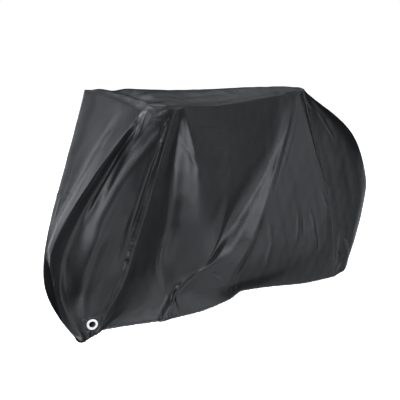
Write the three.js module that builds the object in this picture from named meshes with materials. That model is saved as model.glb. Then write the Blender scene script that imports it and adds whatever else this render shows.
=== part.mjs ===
// Fitted weather cover for a bicycle, as it hangs over one. The bicycle is not part of it.
// Millimetres, +Z up, -X the front (handlebar) end, -Y the left side.
// In the tables, x is from the front axle and z is above the ground. The group at the end moves the whole
// cover so that its origin is under the top, where the saddle carries it.
import * as THREE from "three";
import { mergeVertices } from "three/addons/utils/BufferGeometryUtils.js";

// ---- driving sizes ----
const CLOTH = 1.5; // thickness of the cloth with its coating
const SEAM_GAP = 0.32; // between two sewn pieces
const STATIONS = [750, 500, 330, 190]; // heights at which the fold tables give a place
const ROWS_PER_STATION = 3; // rows of facets between two stations
const SADDLE = { x: 880, z: 1002 }; // the point under the top that the saddle carries
const FAR_CALM = 0.45; // how much flatter the folds of the right side are
const FAR_DROP = { by: 30, lowest: 42 }; // how much lower the right side hangs, and how low its hem may be
const CROWN = { front: 12, rear: 30 }; // how far the middle of the top stands above its side seams
// the dip in the top behind the handlebar
const BAR_HOLLOW = { behind: 62, spread: 34, depth: 16, middle: 60, reach: 190 };
// radii and flange thicknesses of the eyelet, and how far down its patch it sits
const EYELET = { bore: 13, tube: 14, rim: 22.5, front: 2.4, back: 1.2, clearance: 0.35, sides: 24,
  down: 0.4 };
// cells of the front panel that the eyelet patches take, and the radius of their flat middles
const PATCH = { leftColumns: 5, rightColumns: 3, rows: 3, flat: 25 };

const COLOURS = { cloth: 0x3c3d40, clothDark: 0x323336, patch: 0x2c2d30, eyelet: 0xe6e7ea };

// ---- folds ----
// One row per fold line, in order round the cover. Each leaves the top at `top` [x, y, z], passes the station
// heights at [x, y], and reaches the hem at `hem` [x, y, z]. `crease` is 1 where the cloth breaks sharply and
// 0 where it rolls, and `steps` is the number of facets to the next row.
const FRONT_FOLDS = [ // right front seam to left front seam
  { name: "right_seam", top: [24, 330, 1013], at750: [-35, 250], at500: [-87, 186],
    at330: [-122, 134], at190: [-150, 94], hem: [-170, 74, 94], crease: 0.6, steps: 3 },
  { name: "right_billow", top: [15, 315, 1018], at750: [-118, 222], at500: [-216, 126],
    at330: [-256, 88], at190: [-248, 64], hem: [-206, 46, 88], crease: 0, steps: 2 },
  { name: "right_ridge", top: [10, 298, 1022], at750: [-170, 157], at500: [-322, 42],
    at330: [-348, 26], at190: [-300, 22], hem: [-224, 22, 68], crease: 0.6, steps: 1 },
  { name: "bar_rise", top: [28, 205, 1033], at750: [-166, 95], at500: [-329, 22],
    at330: [-354, 12], at190: [-303, 12], hem: [-224, 11, 65], crease: 0, steps: 2 },
  { name: "front_plane", top: [26, 30, 1022], at750: [-164, 20], at500: [-334, 0],
    at330: [-356, -4], at190: [-304, -4], hem: [-224, 0, 64], crease: 0, steps: 1 },
  { name: "shoulder", top: [22, -64, 1013], at750: [-196, -43], at500: [-354, -51],
    at330: [-349, -51], at190: [-308, -29], hem: [-222, -7, 66], crease: 0, steps: 1 },
  { name: "lever_ridge", top: [19, -150, 1006], at750: [-207, -120], at500: [-366, -92],
    at330: [-353, -74], at190: [-311, -50], hem: [-222, -18, 68], crease: 0.9, steps: 1 },
  { name: "lever_valley", top: [20, -178, 1003], at750: [-135, -86], at500: [-281, -50],
    at330: [-317, -43], at190: [-279, -36], hem: [-216, -32, 76], crease: 0.3, steps: 1 },
  { name: "crest_rise", top: [15, -202, 1001], at750: [-113, -100], at500: [-248, -66],
    at330: [-294, -54], at190: [-265, -42], hem: [-214, -39, 83], crease: 0, steps: 1 },
  { name: "front_billow", top: [11, -224, 1000], at750: [-106, -134], at500: [-207, -98],
    at330: [-258, -76], at190: [-245, -54], hem: [-212, -46, 88], crease: 0, steps: 1 },
  { name: "billow_fall", top: [10, -256, 1002], at750: [-86, -158], at500: [-175, -112],
    at330: [-232, -86], at190: [-230, -60], hem: [-203, -48, 94], crease: 0, steps: 1 },
  { name: "billow_foot", top: [12, -286, 1004], at750: [-62, -176], at500: [-123, -114],
    at330: [-194, -88], at190: [-203, -62], hem: [-198, -59, 101], crease: 0, steps: 1 },
  { name: "seam_bead", top: [15, -313, 1007], at750: [-19, -204], at500: [-69, -130],
    at330: [-113, -102], at190: [-169, -72], hem: [-189, -64, 107], crease: 0.4, steps: 1 },
  { name: "seam_gully", top: [17, -322, 1007], at750: [-3, -202], at500: [-51, -131],
    at330: [-99, -104], at190: [-158, -72], hem: [-183, -70, 112], crease: 0.2, steps: 1 },
];
const LEFT_FOLDS = [ // left front seam to the left rear seam
  { name: "front_seam", top: [18, -330, 1008], at750: [11, -214], at500: [-37, -144],
    at330: [-84, -116], at190: [-144, -82], hem: [-176, -72, 116], crease: 0.9, steps: 1 },
  { name: "seam_lee", top: [33, -330, 1009], at750: [59, -186], at500: [52, -110],
    at330: [15, -84], at190: [-34, -62], hem: [-141, -54, 115], crease: 0.2, steps: 1 },
  { name: "fan_foot", top: [46, -327, 1010], at750: [136, -150], at500: [167, -66],
    at330: [136, -50], at190: [155, -52], hem: [84, -82, 99], crease: 0.1, steps: 1 },
  { name: "fan_face", top: [59, -324, 1011], at750: [186, -174], at500: [222, -90],
    at330: [203, -72], at190: [185, -66], hem: [121, -94, 96], crease: 0, steps: 1 },
  { name: "fan_ridge", top: [68, -321, 1011], at750: [224, -194], at500: [311, -118],
    at330: [304, -100], at190: [184, -78], hem: [168, -86, 93], crease: 0.2, steps: 3 },
  { name: "side_slack", top: [300, -230, 987], at750: [400, -168], at500: [426, -108],
    at330: [347, -108], at190: [204, -76], hem: [196, -86, 91], crease: 0, steps: 4 },
  { name: "band_valley", top: [720, -100, 980], at750: [634, -98], at500: [492, -82],
    at330: [360, -104], at190: [196, -80], hem: [222, -88, 91], crease: 0.3, steps: 1 },
  { name: "band_face", top: [784, -88, 981], at750: [719, -83], at500: [568, -82],
    at330: [389, -122], at190: [286, -85], hem: [330, -98, 93], crease: 0, steps: 2 },
  { name: "band_ridge", top: [838, -80, 983], at750: [759, -93], at500: [646, -114],
    at330: [518, -145], at190: [435, -119], hem: [480, -90, 105], crease: 0.5, steps: 1 },
  { name: "saddle_crease", top: [858, -77, 984], at750: [799, -92], at500: [678, -113],
    at330: [570, -129], at190: [493, -122], hem: [541, -84, 124], crease: 0.4, steps: 1 },
  { name: "second_ridge", top: [864, -76, 984], at750: [824, -92], at500: [727, -110],
    at330: [664, -121], at190: [632, -108], hem: [590, -81, 120], crease: 0.1, steps: 3 },
  { name: "rear_swell", top: [876, -75, 985], at750: [915, -96], at500: [941, -100],
    at330: [931, -98], at190: [893, -88], hem: [727, -74, 100], crease: 0, steps: 2 },
  { name: "rear_slope", top: [893, -71, 986], at750: [953, -95], at500: [1055, -98],
    at330: [1069, -92], at190: [1056, -78], hem: [964, -62, 59], crease: 0.1, steps: 1 },
];
const REAR_FOLDS = [ // left rear seam to the middle of the rear
  { name: "rear_seam", top: [914, -64, 988], at750: [978, -86], at500: [1073, -90],
    at330: [1124, -82], at190: [1156, -70], hem: [1181, -55, 42], crease: 0.8, steps: 2 },
  { name: "rear_mid", top: [931, -50, 990], at750: [1101, -72], at500: [1221, -74],
    at330: [1240, -68], at190: [1240, -60], hem: [1212, -48, 44], crease: 0, steps: 3 },
  { name: "rear_cheek", top: [937, -42, 991], at750: [1222, -52], at500: [1366, -50],
    at330: [1354, -48], at190: [1322, -44], hem: [1280, -36, 53], crease: 0, steps: 4 },
  { name: "rear_keel", top: [948, 0, 994], at750: [1316, 0], at500: [1440, 0],
    at330: [1420, 0], at190: [1376, 0], hem: [1330, 0, 82], crease: 0, steps: 4 },
];

// ---- curves ----
const vector = ([x, y, z]) => new THREE.Vector3(x, y, z);
const mix = (a, b, share) => a.clone().lerp(b, share);

// Hermite cubic from b to c; a and d are the points before and after. firmB and firmC (0 to 1) stiffen each end
// from a smooth pass through the point to a straight start along the chord.
function cubic(a, b, c, d, t, firmB = 0, firmC = 0) {
  const chord = c.clone().sub(b);
  const through = (from, to, far) => {
    const reach = from.distanceTo(far) + to.distanceTo(far);
    return to.clone().sub(from).multiplyScalar(chord.length() / Math.max(reach, 1e-6));
  };
  const leave = a ? mix(through(a, c, b), chord, firmB) : chord;
  const arrive = d ? mix(through(b, d, c), chord, firmC) : chord;
  const t2 = t * t;
  const t3 = t2 * t;
  return b.clone().multiplyScalar(2 * t3 - 3 * t2 + 1)
    .addScaledVector(leave, t3 - 2 * t2 + t)
    .addScaledVector(c, -2 * t3 + 3 * t2)
    .addScaledVector(arrive, t3 - t2);
}

// ---- the loop of folds ----
const STATION_KEYS = STATIONS.map((height) => `at${height}`);

function mirrored(row) {
  const flip = ([x, y, ...rest]) => [x, -y, ...rest];
  const out = { ...row };
  for (const key of ["top", ...STATION_KEYS, "hem"]) out[key] = flip(row[key]);
  return out;
}

// Eases each fold towards the mean of its neighbours.
function calmed(rows, calm) {
  return rows.map((row, i) => {
    if (i === 0 || i === rows.length - 1) return row;
    const out = { ...row };
    for (const key of STATION_KEYS) {
      const mean = row[key].map((_, k) => (rows[i - 1][key][k] + rows[i + 1][key][k]) / 2);
      out[key] = row[key].map((value, k) => value + (mean[k] - value) * calm);
    }
    return out;
  });
}

// Lets the hem hang lower.
function dropped(row) {
  const [x, y, z] = row.hem;
  return { ...row, hem: [x, y, Math.max(z - FAR_DROP.by, FAR_DROP.lowest)] };
}

// The same rows seen in the other direction: each row's steps become those of the gap that now follows it.
function reversed(rows) {
  return rows.map((row, i) => ({ ...row, steps: i > 0 ? rows[i - 1].steps : 0 })).reverse();
}

const leftSide = [...LEFT_FOLDS, REAR_FOLDS[0]];
const rightSide = reversed(calmed(leftSide, FAR_CALM)).map(mirrored).map(dropped).slice(0, -1);
const rightRear = reversed(REAR_FOLDS).slice(1, -1).map(mirrored);
const FOLDS = [...FRONT_FOLDS, ...LEFT_FOLDS, ...REAR_FOLDS, ...rightRear, ...rightSide];
const foldPoints = FOLDS.map((row) => {
  const atStations = STATIONS.map((height, k) => vector([...row[STATION_KEYS[k]], height]));
  return [vector(row.top), ...atStations, vector(row.hem)];
});

// A point of fold k, from v = 0 at the top to v = 1 at the hem.
function onFold(k, v) {
  const points = foldPoints[(k + FOLDS.length) % FOLDS.length];
  const i = Math.min(Math.floor(v * (points.length - 1)), points.length - 2);
  return cubic(points[i - 1], points[i], points[i + 1], points[i + 2], v * (points.length - 1) - i);
}

// ---- the grid: columns round the cover, rows down it ----
const shares = (steps) => Array.from({ length: steps }, (_, i) => i / steps);
const COLUMNS = FOLDS.flatMap((row, k) => shares(row.steps).map((share) => ({ k, share })));
const ROWS = ROWS_PER_STATION * (STATIONS.length + 1);
const count = (rows) => rows.reduce((sum, row) => sum + row.steps, 0);
const FRONT = { from: 0, to: count(FRONT_FOLDS) };
const LEFT = { from: FRONT.to, to: FRONT.to + count(LEFT_FOLDS) };
const REAR = { from: LEFT.to, to: LEFT.to + count(REAR_FOLDS) + count(rightRear) };
const RIGHT = { from: REAR.to, to: COLUMNS.length };
const ACROSS = FRONT.to - FRONT.from;
const ALONG = LEFT.to - LEFT.from;

function skirtPoint(column, v) {
  const whole = Math.floor(column);
  const { k, share } = COLUMNS[whole % COLUMNS.length];
  const s = share + (column - whole) / FOLDS[k].steps;
  return cubic(onFold(k - 1, v), onFold(k, v), onFold(k + 1, v), onFold(k + 2, v), s,
    FOLDS[k].crease, FOLDS[(k + 1) % FOLDS.length].crease);
}

const points = []; // outer surface of the whole cover
const faces = []; // { piece, corners }

const skirt = [];
for (let j = 0; j <= ROWS; j += 1) {
  skirt.push(COLUMNS.map((_, i) => points.push(skirtPoint(i, j / ROWS)) - 1));
}
const skirtId = (i, j) => skirt[j][i % COLUMNS.length];

// The top is stretched between the two side seams, the handlebar and the back of the saddle.
function topPoint(a, b) {
  const edge = (i) => points[skirtId(i, 0)];
  const left = edge(LEFT.from + a);
  const right = edge(RIGHT.to - a);
  const [front, frontRight, frontLeft] = [edge(b), edge(FRONT.from), edge(FRONT.to)];
  const [rear, rearLeft, rearRight] = [edge(REAR.to - b), edge(REAR.from), edge(REAR.to)];
  const frontShare = (frontRight.y - front.y) / (frontRight.y - frontLeft.y);
  const rearShare = (rearRight.y - rear.y) / (rearRight.y - rearLeft.y);
  const back = (left.x - frontLeft.x) / (rearLeft.x - frontLeft.x);
  const across = frontShare + (rearShare - frontShare) * back;
  const point = mix(right, left, across);
  point.addScaledVector(front.clone().sub(mix(frontRight, frontLeft, frontShare)), 1 - back);
  point.addScaledVector(rear.clone().sub(mix(rearRight, rearLeft, rearShare)), back);
  const middle = 1 - (2 * across - 1) ** 2;
  const crown = CROWN.front + (CROWN.rear - CROWN.front) * back;
  point.z += crown * middle * (1 - Math.abs(2 * back - 1) ** 4);
  const fromHollow = (point.x - FRONT_FOLDS[0].top[0] - BAR_HOLLOW.behind) / BAR_HOLLOW.spread;
  const beside = (point.y - BAR_HOLLOW.middle) / BAR_HOLLOW.reach;
  point.z -= BAR_HOLLOW.depth * Math.exp(-(fromHollow ** 2) - beside ** 4);
  return point;
}

function makeTopId(a, b) {
  if (b === ACROSS) return skirtId(LEFT.from + a, 0);
  if (b === 0) return skirtId(RIGHT.to - a, 0);
  if (a === 0) return skirtId(b, 0);
  if (a === ALONG) return skirtId(REAR.to - b, 0);
  return points.push(topPoint(a, b)) - 1;
}

const top = [];
for (let a = 0; a <= ALONG; a += 1) {
  top.push([]);
  for (let b = 0; b <= ACROSS; b += 1) top[a].push(makeTopId(a, b));
}

// ---- eyelet patches: the cells beside the foot of each front seam ----
// `across` is how far over the patch its eyelet sits, from the patch's first column
const patches = [
  { name: "left", from: FRONT.to - PATCH.leftColumns, to: FRONT.to, across: 0.45 },
  { name: "right", from: FRONT.from, to: FRONT.from + PATCH.rightColumns, across: 0.5 },
];
const patchTop = ROWS - PATCH.rows;
const inPatch = (i, j) => j >= patchTop && patches.find((patch) => i >= patch.from && i < patch.to);

for (let j = 0; j < ROWS; j += 1) {
  for (let i = 0; i < COLUMNS.length; i += 1) {
    const corners = [skirtId(i, j), skirtId(i, j + 1), skirtId(i + 1, j + 1), skirtId(i + 1, j)];
    const patch = inPatch(i, j);
    const panel = i < FRONT.to ? "front_panel" : i < LEFT.to ? "left_side_panel"
      : i < REAR.to ? "rear_panel" : "right_side_panel";
    faces.push({ piece: patch ? `${patch.name}_patch_cells` : panel, corners });
  }
}
for (let a = 0; a < ALONG; a += 1) {
  for (let b = 0; b < ACROSS; b += 1) {
    faces.push({ piece: "top_panel", corners: [top[a][b], top[a][b + 1], top[a + 1][b + 1], top[a + 1][b]] });
  }
}

// ---- normals of the whole surface, so that the walls of two sewn pieces stay parallel ----
const normals = points.map(() => new THREE.Vector3());
for (const { corners } of faces) {
  const [p, q, r, s] = corners.map((id) => points[id]);
  const normal = new THREE.Vector3().crossVectors(r.clone().sub(p), s.clone().sub(q)).normalize();
  // small and large faces count alike, so that the normal on an edge halves its angle
  corners.forEach((id) => normals[id].add(normal));
}
normals.forEach((normal) => normal.normalize());

// ---- a sheet of cloth from the faces of one piece ----
function sheetGeometry(outer, outward, loops) {
  const edges = new Map();
  for (const loop of loops) {
    loop.forEach((from, k) => {
      const to = loop[(k + 1) % loop.length];
      if (!edges.delete(`${to},${from}`)) edges.set(`${from},${to}`, [from, to]);
    });
  }
  const border = [...edges.values()];
  // each border point moves into the piece by half the seam gap, measured square to both of its edges
  const inward = new Map();
  for (const [from, to] of border) {
    for (const id of [from, to]) {
      const along = outer[to].clone().sub(outer[from]);
      const square = new THREE.Vector3().crossVectors(outward[id], along).normalize();
      inward.set(id, [...(inward.get(id) ?? []), square]);
    }
  }
  const shifted = (id) => {
    const point = outer[id].clone();
    if (!inward.has(id)) return point;
    const [first, second] = inward.get(id);
    return point.addScaledVector(first.clone().add(second), SEAM_GAP / 2 / (1 + first.dot(second)));
  };
  const ids = [...new Set(loops.flat())];
  const place = new Map(ids.map((id, k) => [id, k]));
  const vertices = [];
  for (const id of ids) vertices.push(...shifted(id).toArray());
  for (const id of ids) vertices.push(...shifted(id).addScaledVector(outward[id], -CLOTH).toArray());
  const triangles = [];
  const inner = ids.length;
  for (const loop of loops) {
    const corner = loop.map((id) => place.get(id));
    for (const [p, q, r] of [[corner[0], corner[1], corner[2]], [corner[0], corner[2], corner[3]]]) {
      triangles.push(p, q, r, r + inner, q + inner, p + inner);
    }
  }
  // a wall is split from its later point's outer corner, so that the two walls of a seam are split alike
  for (const [from, to] of border) {
    const [p, q] = [place.get(from), place.get(to)];
    if (from < to) triangles.push(q, p, p + inner, q, p + inner, q + inner);
    else triangles.push(q, p, q + inner, p, p + inner, q + inner);
  }
  const geometry = new THREE.BufferGeometry();
  geometry.setAttribute("position", new THREE.Float32BufferAttribute(vertices, 3));
  geometry.setIndex(triangles);
  geometry.computeVertexNormals();
  return geometry;
}

const clothMaterial = (color) => new THREE.MeshStandardMaterial({ color, roughness: 0.55, metalness: 0 });

function panel(name, color) {
  const loops = faces.filter((face) => face.piece === name).map((face) => face.corners);
  const mesh = new THREE.Mesh(sheetGeometry(points, normals, loops), clothMaterial(color));
  mesh.name = name;
  return mesh;
}

// ---- the patch: its border follows the panel cells round it, and its middle is flat round the eyelet ----
function eyeletSeat(patch) {
  const column = patch.from + (patch.to - patch.from) * patch.across;
  const row = patchTop + PATCH.rows * EYELET.down;
  const at = (di, dj) => skirtPoint(column + di, (row + dj) / ROWS);
  const normal = new THREE.Vector3().crossVectors(at(0, 0.5).sub(at(0, -0.5)), at(0.5, 0).sub(at(-0.5, 0)));
  return { centre: at(0, 0), normal: normal.normalize() };
}

function patchBorder(patch) {
  const ids = [];
  for (let j = patchTop; j < ROWS; j += 1) ids.push(skirtId(patch.from, j));
  for (let i = patch.from; i < patch.to; i += 1) ids.push(skirtId(i, ROWS));
  for (let j = ROWS; j > patchTop; j -= 1) ids.push(skirtId(patch.to, j));
  for (let i = patch.to; i > patch.from; i -= 1) ids.push(skirtId(i, patchTop));
  return ids.flatMap((id, k) => {
    const next = ids[(k + 1) % ids.length];
    return [
      { point: points[id], normal: normals[id] },
      { point: mix(points[id], points[next], 0.5), normal: mix(normals[id], normals[next], 0.5) },
    ];
  });
}

function eyeletPatch(patch) {
  const { centre, normal } = eyeletSeat(patch);
  const border = patchBorder(patch);
  const toward = border[0].point.clone().sub(centre);
  const side = toward.addScaledVector(normal, -toward.dot(normal)).normalize();
  const up = new THREE.Vector3().crossVectors(normal, side);
  const turn = 2 * Math.PI / border.length;
  const onCircle = (k, radius) => centre.clone()
    .addScaledVector(side, radius * Math.cos(k * turn)).addScaledVector(up, radius * Math.sin(k * turn));
  const outer = [];
  const outward = [];
  const ring = (place) => border.map((edge, k) => {
    outward.push(place(edge, k).normal);
    return outer.push(place(edge, k).point) - 1;
  });
  const rings = [
    ring((edge) => edge),
    ring((edge, k) => ({
      point: mix(edge.point, onCircle(k, PATCH.flat), 0.55),
      normal: mix(edge.normal, normal, 0.7).normalize(),
    })),
    ring((edge, k) => ({ point: onCircle(k, PATCH.flat), normal })),
    ring((edge, k) => ({ point: onCircle(k, EYELET.tube + EYELET.clearance + SEAM_GAP / 2), normal })),
  ];
  const loops = [];
  for (let r = 0; r + 1 < rings.length; r += 1) {
    border.forEach((_, k) => {
      const next = (k + 1) % border.length;
      loops.push([rings[r][k], rings[r][next], rings[r + 1][next], rings[r + 1][k]]);
    });
  }
  const mesh = new THREE.Mesh(sheetGeometry(outer, outward, loops), clothMaterial(COLOURS.patch));
  mesh.name = `${patch.name}_eyelet_patch`;
  return mesh;
}

// ---- the eyelet: a domed front flange, a tube through the cloth and a flat back flange, in one ring ----
function eyeletRing(patch) {
  const { centre, normal } = eyeletSeat(patch);
  const { bore, tube, rim, clearance } = EYELET;
  const front = clearance + EYELET.front;
  const behind = -CLOTH - clearance;
  const back = behind - EYELET.back;
  const profile = [
    [bore, back], [rim - 2, back], [rim - 2, behind], [tube, behind], [tube, clearance],
    [rim - 0.4, clearance], [rim, clearance + 0.8], [(rim + bore) / 2 + 1, front],
    [bore + 0.8, front - 0.4], [bore, front - 1.2], [bore, back],
  ].map(([radius, height]) => new THREE.Vector2(radius, height));
  const lathe = new THREE.LatheGeometry(profile, EYELET.sides);
  lathe.deleteAttribute("normal");
  lathe.deleteAttribute("uv");
  const geometry = mergeVertices(lathe, 1e-4);
  const material = new THREE.MeshStandardMaterial({ color: COLOURS.eyelet, roughness: 0.3, metalness: 0.6 });
  const mesh = new THREE.Mesh(geometry, material);
  mesh.name = `${patch.name}_eyelet`;
  mesh.position.copy(centre);
  mesh.quaternion.setFromUnitVectors(new THREE.Vector3(0, 1, 0), normal);
  return mesh;
}

const cover = new THREE.Group();
cover.position.set(-SADDLE.x, 0, -SADDLE.z);
cover.add(panel("front_panel", COLOURS.cloth));
cover.add(panel("top_panel", COLOURS.clothDark));
cover.add(panel("left_side_panel", COLOURS.cloth));
cover.add(panel("right_side_panel", COLOURS.cloth));
cover.add(panel("rear_panel", COLOURS.clothDark));
for (const patch of patches) cover.add(eyeletPatch(patch), eyeletRing(patch));

export default cover;
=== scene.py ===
"""Fitted weather cover for a bicycle, as it hangs over one. The bicycle is not part of it.

Lengths in the tables are millimetres: x from the front axle and z above the ground, as in the CAD source.
-X is the handlebar end and -Y the left side. Objects are in metres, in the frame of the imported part.
"""

import math

import bpy
import numpy as np
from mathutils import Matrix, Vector


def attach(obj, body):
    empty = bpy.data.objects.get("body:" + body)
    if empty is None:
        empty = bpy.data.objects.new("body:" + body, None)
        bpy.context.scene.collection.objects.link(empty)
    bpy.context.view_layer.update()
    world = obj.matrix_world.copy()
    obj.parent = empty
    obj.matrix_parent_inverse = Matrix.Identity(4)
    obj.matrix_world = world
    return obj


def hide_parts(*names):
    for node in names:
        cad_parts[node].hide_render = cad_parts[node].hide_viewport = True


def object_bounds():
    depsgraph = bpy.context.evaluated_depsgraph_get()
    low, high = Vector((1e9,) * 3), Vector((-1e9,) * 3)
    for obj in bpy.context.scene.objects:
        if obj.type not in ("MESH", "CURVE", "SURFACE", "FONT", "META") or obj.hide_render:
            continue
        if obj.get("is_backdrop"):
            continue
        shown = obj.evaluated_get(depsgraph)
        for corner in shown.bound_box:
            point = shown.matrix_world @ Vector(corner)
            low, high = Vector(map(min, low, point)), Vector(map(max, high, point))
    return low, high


# ---- camera ----
CAMERA_PLACE = (-2.4102, -2.5059, 0.3746)
CAMERA_YAW = 37.316
CAMERA_PITCH = 14.646
CAMERA_LENS = 68.53

scene = bpy.context.scene
collection = scene.collection
camera_data = bpy.data.cameras.new("camera")
camera_data.lens = CAMERA_LENS
camera_data.sensor_width = 36.0
camera_data.clip_start = 0.05
camera_data.clip_end = 60.0
camera = bpy.data.objects.new("camera", camera_data)
collection.objects.link(camera)
scene.camera = camera
camera.location = CAMERA_PLACE
camera.rotation_euler = (math.radians(90.0 - CAMERA_PITCH), 0.0, -math.radians(CAMERA_YAW))

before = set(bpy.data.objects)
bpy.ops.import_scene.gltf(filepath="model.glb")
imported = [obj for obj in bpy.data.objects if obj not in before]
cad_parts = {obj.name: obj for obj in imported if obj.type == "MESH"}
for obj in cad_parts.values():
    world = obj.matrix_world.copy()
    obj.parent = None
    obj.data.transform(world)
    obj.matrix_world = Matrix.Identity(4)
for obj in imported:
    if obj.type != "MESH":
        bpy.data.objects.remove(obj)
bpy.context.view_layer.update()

# ---- the surface ----
SHIFT = np.array([880.0, 0.0, 1002.0])  # what the frame's origin is in table millimetres
STATIONS = (750, 500, 330, 190)  # heights at which the fold tables give a place
TOP_HEIGHT, HEM_HEIGHT = 1000, 80
FAR_CALM = 0.45  # how far the folds of the right side are eased towards their neighbours
FAR_DROP = (30.0, 42.0)  # how much lower the right side hangs, and how low its hem may be
CROWN = (12.0, 30.0)  # the middle of the top above its side seams, at the handlebar and at the saddle
# name, top, place at each station height, hem, crease, facets of the CAD solid to the next fold
FRONT_FOLDS = [
    ("right_seam", (24, 330, 1013), (-35, 250), (-87, 186), (-122, 134), (-150, 94),
     (-170, 74, 94), 0.6, 3),
    ("right_billow", (15, 315, 1018), (-118, 222), (-216, 126), (-256, 88), (-248, 64),
     (-206, 46, 88), 0, 2),
    ("right_ridge", (10, 298, 1022), (-170, 157), (-322, 42), (-348, 26), (-300, 22),
     (-224, 22, 68), 0.6, 1),
    ("bar_rise", (28, 205, 1033), (-166, 95), (-329, 22), (-354, 12), (-303, 12),
     (-224, 11, 65), 0, 2),
    ("front_plane", (26, 30, 1022), (-164, 20), (-334, 0), (-356, -4), (-304, -4),
     (-224, 0, 64), 0, 1),
    ("shoulder", (22, -64, 1013), (-196, -43), (-354, -51), (-349, -51), (-308, -29),
     (-222, -7, 66), 0, 1),
    ("lever_ridge", (19, -150, 1006), (-207, -120), (-366, -92), (-353, -74), (-311, -50),
     (-222, -18, 68), 0.9, 1),
    ("lever_valley", (20, -178, 1003), (-135, -86), (-281, -50), (-317, -43), (-279, -36),
     (-216, -32, 76), 0.3, 1),
    ("crest_rise", (15, -202, 1001), (-113, -100), (-248, -66), (-294, -54), (-265, -42),
     (-214, -39, 83), 0, 1),
    ("front_billow", (11, -224, 1000), (-106, -134), (-207, -98), (-258, -76), (-245, -54),
     (-212, -46, 88), 0, 1),
    ("billow_fall", (10, -256, 1002), (-86, -158), (-175, -112), (-232, -86), (-230, -60),
     (-203, -48, 94), 0, 1),
    ("billow_foot", (12, -286, 1004), (-62, -176), (-123, -114), (-194, -88), (-203, -62),
     (-198, -59, 101), 0, 1),
    ("seam_bead", (15, -313, 1007), (-19, -204), (-69, -130), (-113, -102), (-169, -72),
     (-189, -64, 107), 0.4, 1),
    ("seam_gully", (17, -322, 1007), (-3, -202), (-51, -131), (-99, -104), (-158, -72),
     (-183, -70, 112), 0.2, 1),
]
LEFT_FOLDS = [
    ("front_seam", (18, -330, 1008), (11, -214), (-37, -144), (-84, -116), (-144, -82),
     (-176, -72, 116), 0.9, 1),
    ("seam_lee", (33, -330, 1009), (59, -186), (52, -110), (15, -84), (-34, -62),
     (-141, -54, 115), 0.2, 1),
    ("fan_foot", (46, -327, 1010), (136, -150), (167, -66), (136, -50), (155, -52),
     (84, -82, 99), 0.1, 1),
    ("fan_face", (59, -324, 1011), (186, -174), (222, -90), (203, -72), (185, -66),
     (121, -94, 96), 0, 1),
    ("fan_ridge", (68, -321, 1011), (224, -194), (311, -118), (304, -100), (184, -78),
     (168, -86, 93), 0.2, 3),
    ("side_slack", (300, -230, 987), (400, -168), (426, -108), (347, -108), (204, -76),
     (196, -86, 91), 0, 4),
    ("band_valley", (720, -100, 980), (634, -98), (492, -82), (360, -104), (196, -80),
     (222, -88, 91), 0.3, 1),
    ("band_face", (784, -88, 981), (719, -83), (568, -82), (389, -122), (286, -85),
     (330, -98, 93), 0, 2),
    ("band_ridge", (838, -80, 983), (759, -93), (646, -114), (518, -145), (435, -119),
     (480, -90, 105), 0.5, 1),
    ("saddle_crease", (858, -77, 984), (799, -92), (678, -113), (570, -129), (493, -122),
     (541, -84, 124), 0.4, 1),
    ("second_ridge", (864, -76, 984), (824, -92), (727, -110), (664, -121), (632, -108),
     (590, -81, 120), 0.1, 3),
    ("rear_swell", (876, -75, 985), (915, -96), (941, -100), (931, -98), (893, -88),
     (727, -74, 100), 0, 2),
    ("rear_slope", (893, -71, 986), (953, -95), (1055, -98), (1069, -92), (1056, -78),
     (964, -62, 59), 0.1, 1),
]
REAR_FOLDS = [
    ("rear_seam", (914, -64, 988), (978, -86), (1073, -90), (1124, -82), (1156, -70),
     (1181, -55, 42), 0.8, 2),
    ("rear_mid", (931, -50, 990), (1101, -72), (1221, -74), (1240, -68), (1240, -60),
     (1212, -48, 44), 0, 3),
    ("rear_cheek", (937, -42, 991), (1222, -52), (1366, -50), (1354, -48), (1322, -44),
     (1280, -36, 53), 0, 4),
    ("rear_keel", (948, 0, 994), (1316, 0), (1440, 0), (1420, 0), (1376, 0),
     (1330, 0, 82), 0, 4),
]


def fold_points(row):
    """The fold line's points from top to hem, and its crease and facets."""
    places = [(*row[2 + i], z) for i, z in enumerate(STATIONS)]
    return np.array([row[1], *places, row[-3]], float), row[-2], row[-1]


def mirrored(fold):
    """The same fold on the other side of the cover."""
    return fold[0] * (1, -1, 1), fold[1], fold[2]


def calmed(folds, calm):
    """Each fold eased towards the mean of its neighbours, between the first and the last."""
    out = [folds[0]]
    for before, this, after in zip(folds, folds[1:], folds[2:]):
        points = this[0].copy()
        points[1:-1] += ((before[0] + after[0]) / 2 - this[0])[1:-1] * calm
        out.append((points, this[1], this[2]))
    return out + [folds[-1]]


def dropped(fold):
    """The same fold with its hem lower."""
    points = fold[0].copy()
    points[-1, 2] = max(points[-1, 2] - FAR_DROP[0], FAR_DROP[1])
    return points, fold[1], fold[2]


def turned_round(folds):
    """The same folds seen in the other direction."""
    steps = [0] + [fold[2] for fold in folds[:-1]]
    return [(fold[0], fold[1], step) for fold, step in zip(folds, steps)][::-1]


front_folds = [fold_points(row) for row in FRONT_FOLDS]
left_folds = [fold_points(row) for row in LEFT_FOLDS]
rear_folds = [fold_points(row) for row in REAR_FOLDS]
left_side = left_folds + rear_folds[:1]
right_side = [dropped(mirrored(fold)) for fold in turned_round(calmed(left_side, FAR_CALM))][:-1]
rear_right = [mirrored(fold) for fold in turned_round(rear_folds)][1:-1]
FOLDS = front_folds + left_folds + rear_folds + rear_right + right_side
STEPS = [fold[2] for fold in FOLDS]
STARTS = np.concatenate([[0], np.cumsum(STEPS)])
FRONT_TO = sum(fold[2] for fold in front_folds)
LEFT_TO = FRONT_TO + sum(fold[2] for fold in left_folds)
REAR_TO = LEFT_TO + sum(fold[2] for fold in rear_folds + rear_right)
ROUND = int(STARTS[-1])
SEAM_COLUMNS = (0, FRONT_TO, LEFT_TO, REAR_TO, ROUND)


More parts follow.
